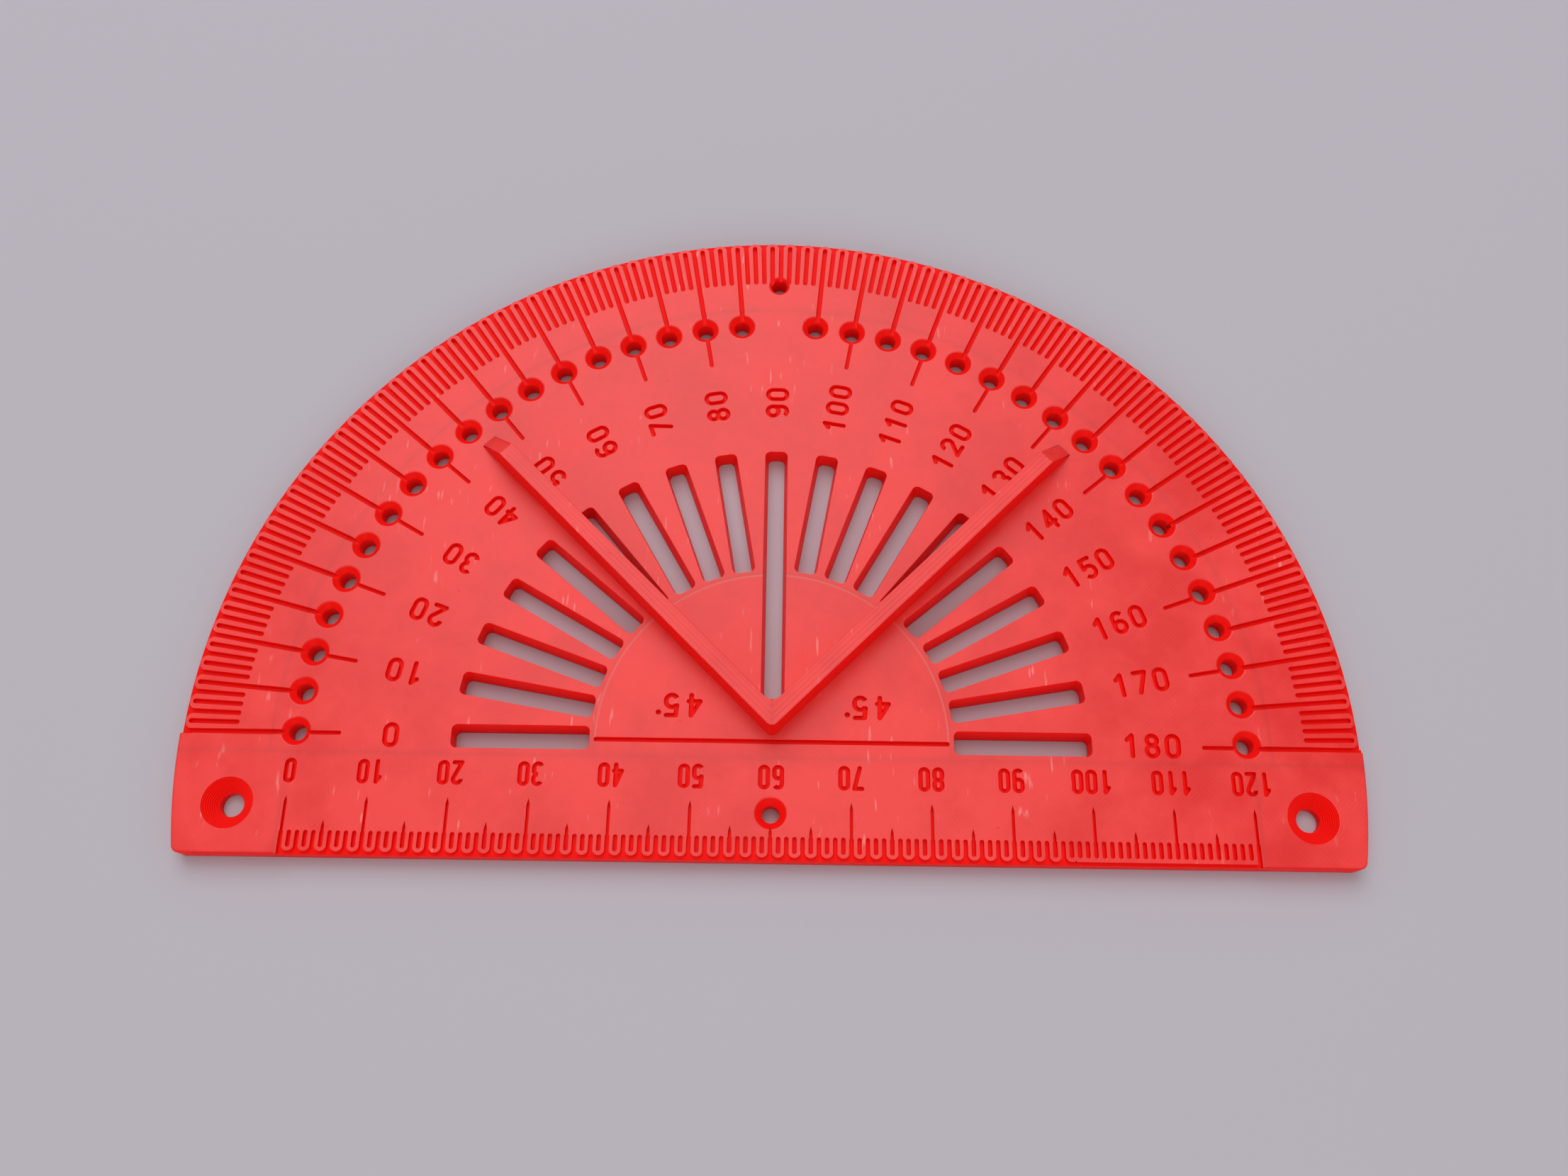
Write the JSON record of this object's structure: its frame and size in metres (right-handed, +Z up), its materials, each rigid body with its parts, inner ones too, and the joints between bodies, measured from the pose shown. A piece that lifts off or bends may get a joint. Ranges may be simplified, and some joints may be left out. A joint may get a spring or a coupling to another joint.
{
  "type": "center finder",
  "caption": "Flat half-round center finder with a V fence, degree marks, radial marking slots, pencil holes and a straight millimetre ruler edge with a countersunk screw hole at each corner.",
  "frame": {"origin": "centre of the protractor on the underside of the plate", "axes": "+Z up out of the marked face, +X to the right along the ruler towards its 120 end, +Y from the ruler edge towards the round edge"},
  "size_m": [0.1492, 0.0894, 0.008],
  "materials": {
    "print_plastic": "satin red PLA as it comes off a filament printer"
  },
  "bodies": {
    "root": {"protractor_plate": "print_plastic", "degree_rim": "print_plastic", "hub_plate": "print_plastic", "left_fence": "print_plastic", "right_fence": "print_plastic", "ruler_bar": "print_plastic", "left_corner_pad": "print_plastic", "right_corner_pad": "print_plastic"}
  },
  "joints": []
}
